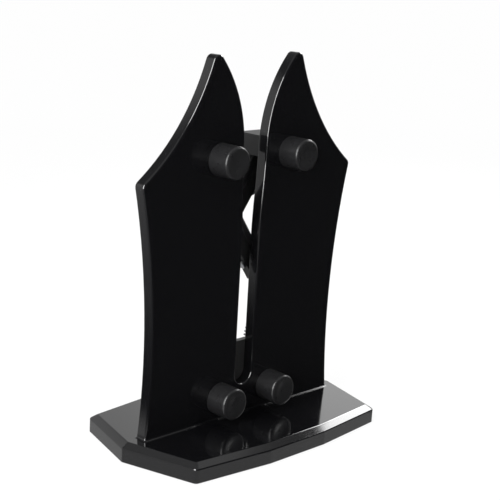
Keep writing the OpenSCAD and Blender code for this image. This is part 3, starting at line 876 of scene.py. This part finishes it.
class SHARPENER_OT_upright_frame(bpy.types.Operator):
    """Model the upright frame from its front face, with round edges, a filleted foot and its stop pins"""

    bl_idname = "sharpener.upright_frame"
    bl_label = "Upright frame"

    def execute(self, context):
        sizes = context.scene.sharpener_sizes
        thickness = FRAME_REAR - FRAME_FRONT
        bosses = [middle(side + "_" + cap) for side in SIDES for cap in CAPS]
        cap_radius = (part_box("left_pivot_cap")[1].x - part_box("left_pivot_cap")[0].x) / 2

        def beside_boss(part, radius):
            return any(math.hypot(part.x - boss.x, part.z - boss.z) < radius for boss in bosses)

        def off_front(face):
            """Test for the faces that go: turned from the front, behind it or on a boss."""
            turned = face.normal.y > -SQUARE
            behind = abs(face.calc_center_median().y - FRAME_FRONT) > NEAR
            on_boss = all(beside_boss(vert.co, BOSS_SHARE * cap_radius) for vert in face.verts)
            return turned or behind or on_boss

        piece = merged_copy("upright_frame", "fin_frame")
        edit(piece, "FACE")
        pick(piece, "FACE", off_front)
        bpy.ops.mesh.delete(type="FACE")
        pick_all()
        bpy.ops.mesh.bisect(plane_co=(0, 0, BASE_TOP), plane_no=(0, 0, 1), clear_inner=True)
        pick(piece, "EDGE", lambda edge: all(beside_boss(vert.co, cap_radius) for vert in edge.verts))
        bpy.ops.mesh.fill_holes(sides=0)
        pick_all()
        bpy.ops.mesh.dissolve_faces(use_verts=False)
        pick_all()
        extrude(0, thickness, 0)
        pick_all()
        bpy.ops.mesh.normals_make_consistent(inside=False)

        for plane, width in ((FRAME_FRONT, sizes.edge_round), (FRAME_REAR, sizes.rear_round)):
            pick(piece, "EDGE", self.on_rim(plane))
            round_edges(width, 5)
        self.flare_foot(piece, sizes.foot_fillet, thickness)
        leave()
        smooth(piece, angle=40)
        self.add_pins(piece)
        stand_for(piece, "upright_frame")
        return {"FINISHED"}

    def on_rim(self, plane):
        """Test for the edges that lie in a plane of the frame, apart from the one on the base."""
        return lambda edge: all(abs(vert.co.y - plane) < NEAR for vert in edge.verts) and (
            max(vert.co.z for vert in edge.verts) > BASE_TOP + NEAR
        )

    def flare_foot(self, piece, fillet, thickness):
        """Spreads the foot into a thin flange on the base and hollows the corner above it into a fillet."""
        mesh = bmesh.from_edit_mesh(piece.data)
        half = max(vert.co.x for vert in mesh.verts if vert.co.z < BASE_TOP + NEAR)

        def on_base(face):
            return face.normal.z < -FACING and face.calc_center_median().z < BASE_TOP + NEAR

        def above_flange(edge):
            return all(abs(vert.co.z - BASE_TOP - FLANGE_RISE) < NEAR / 2 for vert in edge.verts)

        pick(piece, "FACE", on_base)
        bpy.ops.transform.translate(value=(0, 0, FLANGE_RISE))
        extrude(0, 0, -FLANGE_RISE)
        bpy.ops.transform.resize(
            value=((half + fillet) / half, (thickness + 2 * fillet) / thickness, 1),
            center_override=(0, (FRAME_FRONT + FRAME_REAR) / 2, BASE_TOP),
        )
        pick(piece, "EDGE", above_flange)
        round_edges(FILLET_SHARE * fillet, 6)

    def add_pins(self, piece):
        """Adds the pins that carry the rubber stops behind the frame."""
        pins = []
        for node in ("rest_stops", "travel_stops"):
            low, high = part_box(node)
            sleeve_radius = (high.z - low.z) / 2
            for side in (-1, 1):
                centre = Vector((side * (high.x - sleeve_radius), 0, (high.z + low.z) / 2))
                pins.append(self.pin(centre, PIN_SHARE * sleeve_radius, high.y))
        only(piece)
        for pin in pins:
            pin.select_set(True)
        bpy.ops.object.join()

    def pin(self, centre, radius, end):
        """One pin from the frame's rear face to its rounded end."""
        start = FRAME_REAR - NEAR
        pin = cylinder(PIN_SIDES, radius, end - start, (centre.x, (start + end) / 2, centre.z))
        edit(pin, "EDGE")
        pick(pin, "EDGE", lambda edge: all(vert.co.y > end - NEAR for vert in edge.verts))
        round_edges(PIN_ROUND * radius, 3)
        leave()
        smooth(pin)
        return pin


class SHARPENER_OT_base(bpy.types.Operator):
    """Model the base with a rounded edge on each side of its bevel"""

    bl_idname = "sharpener.base"
    bl_label = "Base"

    def execute(self, context):
        width = context.scene.sharpener_sizes.base_round
        piece = merged_copy("base_plate", "base_shell")
        edit(piece, "EDGE")

        def on_bevel(edge):
            slopes = [face.normal.z for face in edge.link_faces]
            sloped = [slope for slope in slopes if BEVEL_LOW < slope < BEVEL_HIGH]
            return len(slopes) == 2 and len(sloped) == 1

        pick(piece, "EDGE", on_bevel)
        round_edges(width, 3)
        leave()
        smooth(piece, angle=28)
        stand_for(piece, "base_plate")
        return {"FINISHED"}


class SHARPENER_OT_pad(bpy.types.Operator):
    """Model the non-slip pad with grip ribs across its underside"""

    bl_idname = "sharpener.pad"
    bl_label = "Non-slip pad"

    def execute(self, context):
        count = context.scene.sharpener_sizes.pad_ribs
        low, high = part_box("non_slip_pad")
        pitch = (high.y - low.y) / (2 * count + 2)
        groove = GROOVE_SHARE * pitch
        depth = GROOVE_DEPTH * (high.z - low.z)
        piece = merged_copy("non_slip_pad", "grip_pad")
        edit(piece, "FACE")
        for step in range(-count, count + 1):
            for edge_y in (step * pitch - groove / 2, step * pitch + groove / 2):
                pick_all()
                bpy.ops.mesh.bisect(plane_co=(0, edge_y, 0), plane_no=(0, 1, 0))

        def in_groove(face):
            place = face.calc_center_median().y
            return face.normal.z < -FACING and abs(place - pitch * round(place / pitch)) < groove / 2

        pick(piece, "FACE", in_groove)
        extrude(0, 0, depth)
        leave()
        smooth(piece, angle=30)
        stand_for(piece, "non_slip_pad")
        return {"FINISHED"}


class SHARPENER_OT_caps(bpy.types.Operator):
    """Model the four front caps: a round rim, a softly dished end and a hollow behind"""

    bl_idname = "sharpener.caps"
    bl_label = "Front caps"

    def execute(self, context):
        sizes = context.scene.sharpener_sizes
        for side in SIDES:
            for cap in CAPS:
                self.cap(side + "_" + cap, sizes)
        return {"FINISHED"}

    def cap(self, node, sizes):
        """One cap, modelled from a cylinder."""
        low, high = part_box(node)
        radius = (high.x - low.x) / 2
        length = high.y - low.y
        piece = cylinder(CAP_SIDES, radius, length, (low + high) / 2)
        piece.name = node.replace("cap", "cover")
        edit(piece, "FACE")
        pick(piece, "FACE", lambda face: face.normal.y < -FACING)
        bpy.ops.mesh.inset(thickness=sizes.cap_rim + CAP_RING * radius, depth=0)
        ring_width = (radius - DISH_MARGIN * sizes.cap_rim) / (len(DISH_STEPS) + 1)
        for share in DISH_STEPS:
            bpy.ops.mesh.inset(thickness=ring_width, depth=0)
            bpy.ops.transform.translate(value=(0, sizes.cap_dish * share, 0))
        pick(piece, "FACE", lambda face: face.normal.y > FACING)
        bpy.ops.mesh.inset(thickness=CAP_WALL * radius, depth=0)
        extrude(0, CAP_FLOOR * length + sizes.cap_dish - length, 0)

        def ring(y, around):
            return lambda edge: all(
                abs(vert.co.y - y) < NEAR and abs(self.reach(vert, low, high) - around) < NEAR
                for vert in edge.verts
            )

        pick(piece, "EDGE", ring(low.y, radius))
        round_edges(sizes.cap_rim, 7)
        pick(piece, "EDGE", ring(high.y, radius))
        round_edges(REAR_RIM * sizes.cap_rim, 3)
        leave()
        smooth(piece, angle=24)
        stand_for(piece, node)

    def reach(self, vert, low, high):
        """Distance of a vert from the cap's axis."""
        centre = (low + high) / 2
        return math.hypot(vert.co.x - centre.x, vert.co.z - centre.z)


class SHARPENER_OT_levers(bpy.types.Operator):
    """Round the edges of both levers: arm, bush, sharpening bar and spring stud"""

    bl_idname = "sharpener.levers"
    bl_label = "Levers"

    def execute(self, context):
        sizes = context.scene.sharpener_sizes
        for side in SIDES:
            rounded_copy(side + "_arm", side + "_lever_arm", sizes.arm_round, 3)
            rounded_copy(side + "_sharpening_bar", side + "_hone", BAR_ROUND * sizes.metal_round, 3)
            rounded_copy(side + "_bush", side + "_bearing", sizes.metal_round)
            rounded_copy(side + "_spring_stud", side + "_stud", sizes.metal_round)
        return {"FINISHED"}


class SHARPENER_OT_brace(bpy.types.Operator):
    """Round the edges of the rear brace"""

    bl_idname = "sharpener.brace"
    bl_label = "Rear brace"

    def execute(self, context):
        width = BRACE_ROUND * context.scene.sharpener_sizes.metal_round
        rounded_copy("rear_brace", "foot_brace", width, 3)
        return {"FINISHED"}


class SHARPENER_OT_fasteners(bpy.types.Operator):
    """Round the edges of bolts, screws, nuts, washers, sleeves and stops, and cut the brace screws' sockets
    """

    bl_idname = "sharpener.fasteners"
    bl_label = "Fasteners"

    def execute(self, context):
        width = context.scene.sharpener_sizes.metal_round
        for node in (
            "left_pivot_bolt",
            "right_pivot_bolt",
            "left_anchor_bolt",
            "right_anchor_bolt",
            "front_washers",
            "rear_washers",
            "pivot_nuts",
            "anchor_sleeves",
            "anchor_washers",
            "anchor_nuts",
            "rest_stops",
            "travel_stops",
            "brace_screws",
            "left_bar_screws",
            "right_bar_screws",
        ):
            piece = rounded_copy(node, "turned_" + node, width)
            if node == "brace_screws":
                self.cut_sockets(piece, node)
        return {"FINISHED"}

    def cut_sockets(self, piece, node):
        """Cuts a hexagonal socket into the top of each of two screw heads."""
        low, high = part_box(node)
        head = (high.y - low.y) / 2
        for side in (-1, 1):
            bpy.ops.object.select_all(action="DESELECT")
            bpy.ops.mesh.primitive_cylinder_add(
                vertices=6,
                radius=SOCKET_SHARE * head,
                depth=head,
                location=(side * (high.x - head), (high.y + low.y) / 2, high.z),
            )
            cutter = bpy.context.object
            apply_modifier(piece, "BOOLEAN", operation="DIFFERENCE", object=cutter, solver="EXACT")
            bpy.data.objects.remove(cutter)
        smooth(piece)


class SHARPENER_OT_springs(bpy.types.Operator):
    """Wind both springs from round wire"""

    bl_idname = "sharpener.springs"
    bl_label = "Springs"

    def execute(self, context):
        sizes = context.scene.sharpener_sizes
        for side, way in (("left", -1), ("right", 1)):
            node = side + "_spring"
            low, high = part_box(node)
            places = [middle(side + name) for name in ("_anchor_bolt", "_spring_stud", "_pivot_bolt")]
            for place in places:
                place.y = (low.y + high.y) / 2
            anchor, stud, pivot = places
            span = (stud - anchor).length
            along = (stud - anchor) / span
            across = way * Vector((0, 1, 0)).cross(along)
            axes = Matrix((across, (0, 1, 0), along)).transposed()
            radius = (high.y - low.y) / 2 - sizes.wire_radius
            coil, hook = self.paths(span, radius, sizes.curls)
            join = hook[0][2] / span
            turning, before, after = self.blend_ends(join, span, (stud - pivot).length)
            for name, path, start, end in (
                ("_wound_spring", coil, 0, turning),
                ("_spring_hook", hook, before, after),
            ):
                wire = self.wire([anchor + axes @ Vector(point) for point in path], sizes.wire_radius)
                wire.name = side + name
                stand_for(wire, node, rides=False)
                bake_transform(wire)
        return {"FINISHED"}

    def blend_ends(self, join, span, reach):
        """Where the blends end, as shares of the span, so that the coil stays nearly straight."""
        # Part of the lever's turn that keeps the join on the line from anchor to stud
        share = join * reach / (reach + (1 - join) * span)
        # How far along a smooth step that part is reached
        step = 0.5 - math.sin(math.asin(1 - 2 * share) / 3)
        return join / step, join - (1 - join) * step / (1 - step), 1

    def paths(self, span, radius, curls):
        """Centre lines of the wire, with z from anchor to stud: one hook with all curls, and the other."""
        body = COIL_SHARE * span
        start = (span - body) / 2
        rise = NECK_RISE * radius

        def hook(sign, centre):
            """An open ring round an anchor or a stud."""
            points = []
            for step in range(HOOK_STEPS + 1):
                angle = math.radians(HOOK_TURN) * step / HOOK_STEPS
                points.append((sign * radius * math.cos(angle), 0, centre + sign * radius * math.sin(angle)))
            return points

        def curl(step):
            turn = step / CURL_STEPS
            angle = 2 * math.pi * turn - math.pi / 2
            return (radius * math.cos(angle), radius * math.sin(angle), start + body * turn / curls)

        def neck(curl_end, sign, target):
            """A smooth bend from the coil's end to a hook."""
            handles = (
                Vector(curl_end),
                Vector(curl_end) + Vector((sign * NECK_REACH * radius, 0, 0)),
                Vector(target) - Vector((0, 0, sign * rise / 2)),
                Vector(target),
            )
            points = []
            for step in range(1, NECK_STEPS):
                part = step / NECK_STEPS
                rest = 1 - part
                weights = (rest ** 3, 3 * part * rest ** 2, 3 * part * part * rest, part ** 3)
                pulls = (weight * handle for weight, handle in zip(weights, handles))
                points.append(tuple(sum(pulls, Vector())))
            return points

        low_end = (-radius, 0, start - rise)
        high_end = (radius, 0, start + body + rise)
        curl_path = [curl(step) for step in range(curls * CURL_STEPS + 1)]
        low_neck = neck(curl_path[0], -1, low_end)[::-1]
        high_neck = neck(curl_path[-1], 1, high_end)
        return hook(-1, 0)[::-1] + low_neck + curl_path + high_neck + [high_end], [high_end] + hook(1, span)

    def wire(self, path, radius):
        """A round wire along a path, as a mesh."""
        curve = bpy.data.curves.new("wire", "CURVE")
        curve.dimensions = "3D"
        curve.bevel_depth = radius
        curve.bevel_resolution = WIRE_RESOLUTION
        curve.use_fill_caps = True
        line = curve.splines.new("POLY")
        line.points.add(len(path) - 1)
        for place, point in zip(line.points, path):
            place.co = (*point, 1)
        wire = bpy.data.objects.new("wire", curve)
        bpy.context.scene.collection.objects.link(wire)
        only(wire)
        bpy.ops.object.convert(target="MESH")
        wire = bpy.context.object
        edit(wire, "VERT")
        pick_all()
        bpy.ops.mesh.remove_doubles(threshold=SAME_PLACE)
        bpy.ops.mesh.normals_make_consistent(inside=False)
        leave()
        only(wire)
        bpy.ops.object.shade_smooth_by_angle(angle=math.radians(WIRE_ANGLE))
        return wire


class SHARPENER_OT_hidden_nodes(bpy.types.Operator):
    """Give the nodes that keep their own shape their finishes"""

    bl_idname = "sharpener.hidden_nodes"
    bl_label = "Other nodes"

    def execute(self, context):
        for name, node in NODES.items():
            if not node.hide_render:
                paint(node, SLOT_OF[name])
        return {"FINISHED"}


class SHARPENER_OT_studio(bpy.types.Operator):
    """Set the pale floor, the soft light round the object and the camera"""

    bl_idname = "sharpener.studio"
    bl_label = "Studio"

    def execute(self, context):
        studio = context.scene.sharpener_studio
        context.scene.view_settings.view_transform = "Standard"
        self.floor()
        self.room(studio)
        middle_of_box = (CAD_BOX[0] + CAD_BOX[1]) / 2
        self.softbox("right_box", RIGHT_PLACE, middle_of_box, RIGHT_SIZE, studio.right_glow)
        self.softbox("left_box", LEFT_PLACE, Vector(LEFT_TARGET), LEFT_SIZE, studio.left_glow)
        top_box = self.softbox("top_box", TOP_PLACE, middle_of_box, TOP_SIZE, studio.top_glow)
        top_box.visible_glossy = False
        self.camera(studio)
        return {"FINISHED"}

    def floor(self):
        """A pale floor: nearly white to the camera, with the object's shadow, and darker in reflections."""
        bpy.ops.object.select_all(action="DESELECT")
        bpy.ops.mesh.primitive_plane_add(size=FLOOR_SIZE, location=(0, 0, 0))
        floor = bpy.context.object
        floor.name = "floor"
        material = bpy.data.materials.new("floor")
        finish = Finish(material)
        where = finish.node("TexCoord", {}, {}, "Object")
        x = finish.node("SeparateXYZ", {}, {0: where}, "X")
        y = finish.node("SeparateXYZ", {}, {0: where}, "Y")
        far = finish.node("VectorMath", {"operation": "LENGTH"}, {0: where}, "Value")
        near_band = y.step(*BAND_FRONT) * (1 - x.step(*BAND_RIGHT)) * (1 - far.step(*BAND_OUTER))
        back_left = (BACK_SHARE * y - LEFT_SHARE * x).step(*BACK_SIDE) * far.step(*BACK_INNER)
        mirrored_floor = MIRRORED_DARK + MIRRORED_BAND * near_band + MIRRORED_BACK * back_left
        seen = finish.node("LightPath", {}, {}, "Is Camera Ray")
        mirrored = finish.node("LightPath", {}, {}, "Is Glossy Ray")
        white_share = seen * (WHITE_NEAR + WHITE_ADDED * far.step(*WHITE_EDGE))
        cloth = finish.node("BsdfDiffuse", {}, {"Color": grey(FLOOR_GREY)})
        card = finish.node("Emission", {}, {"Color": seen + mirrored * mirrored_floor, "Strength": 1.0})
        both = finish.node("MixShader", {}, {0: white_share + mirrored, 1: cloth, 2: card})
        finish.node("OutputMaterial", {}, {"Surface": both})
        floor.data.materials.append(material)

    def room(self, studio):
        """The world: even light for dull surfaces, and a bright wall behind the object for glossy ones."""
        world = bpy.data.worlds.new("room")
        bpy.context.scene.world = world
        finish = Finish(world)
        way = finish.node("TexCoord", {}, {}, "Generated")
        x, y, z = (finish.node("SeparateXYZ", {}, {0: way}, axis) for axis in "XYZ")
        seen = finish.node("LightPath", {}, {}, "Is Camera Ray")
        mirrored = finish.node("LightPath", {}, {}, "Is Glossy Ray")
        right_half = x.step(*WALL_SPLIT)
        width = right_half * y.step(*WALL_RIGHT) + (1 - right_half) * y.step(*WALL_LEFT)
        wall = width * (WALL_DIM + WALL_ADDED * (x - y).step(*WALL_BRIGHT)) * (1 - z.step(*WALL_TOP))
        ceiling = CEILING * z.step(*CEILING_EDGE) + PANEL * x.step(*PANEL_SIDE) * z.step(*PANEL_EDGE)
        reflection = ROOM_DARK + wall + ceiling
        dull = (1 - seen) * (1 - mirrored)
        strength = seen + mirrored * reflection + dull * studio.ambient
        shader = finish.node("Background", {}, {"Color": strength, "Strength": 1.0})
        finish.node("OutputWorld", {}, {"Surface": shader})

    def softbox(self, name, place, target, size, glow):
        """A rectangular lamp turned to a target, whose power follows from its size and brightness."""
        aim = target - Vector(place)
        turned = aim.to_track_quat("-Z", "Y").to_euler()
        bpy.ops.object.light_add(type="AREA", location=place, rotation=turned)
        lamp = bpy.context.object
        lamp.name = name
        lamp.data.shape = "RECTANGLE"
        lamp.data.size, lamp.data.size_y = size
        lamp.data.energy = glow * math.pi * size[0] * size[1]
        lamp.visible_camera = False
        return lamp

    def camera(self, studio):
        """The camera at the photograph's place and angle."""
        ahead = Vector((
            -math.sin(studio.turn) * math.cos(studio.tilt),
            math.cos(studio.turn) * math.cos(studio.tilt),
            -math.sin(studio.tilt),
        ))
        right = Vector((math.cos(studio.turn), math.sin(studio.turn), 0))
        down = ahead.cross(right)
        across = math.cos(studio.roll) * right - math.sin(studio.roll) * down
        below = math.sin(studio.roll) * right + math.cos(studio.roll) * down
        turned = Matrix((across, -below, -ahead)).transposed()
        bpy.ops.object.camera_add(location=studio.place, rotation=turned.to_euler())
        camera = bpy.context.object
        camera.data.lens = studio.lens
        camera.data.sensor_width = SENSOR
        camera.data.clip_start = CLIP_START
        bpy.context.scene.camera = camera


PIECES = (
    SHARPENER_OT_upright_frame,
    SHARPENER_OT_base,
    SHARPENER_OT_pad,
    SHARPENER_OT_caps,
    SHARPENER_OT_levers,
    SHARPENER_OT_brace,
    SHARPENER_OT_fasteners,
    SHARPENER_OT_springs,
    SHARPENER_OT_hidden_nodes,
    SHARPENER_OT_studio,
)

SETTINGS = {
    "sharpener_sizes": SharpenerSizes,
    "sharpener_colours": SharpenerColours,
    "sharpener_studio": SharpenerStudio,
}


class SHARPENER_PT_panel(bpy.types.Panel):
    """Sizes, colours and pieces of the knife sharpener."""

    bl_idname = "SHARPENER_PT_panel"
    bl_label = "Knife sharpener"
    bl_space_type = "VIEW_3D"
    bl_region_type = "UI"
    bl_category = "Sharpener"

    def draw(self, context):
        for group in SETTINGS:
            settings = getattr(context.scene, group)
            box = self.layout.box()
            for name in settings.__annotations__:
                box.prop(settings, name)
        for piece in PIECES:
            self.layout.operator(piece.bl_idname)


def register():
    for group in SETTINGS.values():
        bpy.utils.register_class(group)
    for name, group in SETTINGS.items():
        setattr(bpy.types.Scene, name, bpy.props.PointerProperty(type=group))
    for piece in PIECES:
        bpy.utils.register_class(piece)
    bpy.utils.register_class(SHARPENER_PT_panel)


def unregister():
    bpy.utils.unregister_class(SHARPENER_PT_panel)
    for piece in reversed(PIECES):
        bpy.utils.unregister_class(piece)
    for name in SETTINGS:
        delattr(bpy.types.Scene, name)
    for group in SETTINGS.values():
        bpy.utils.unregister_class(group)


def main():
    """Makes everything in order."""
    register()
    for piece in PIECES:
        group, name = piece.bl_idname.split(".")
        getattr(getattr(bpy.ops, group), name)()


if __name__ == "__main__":
    main()
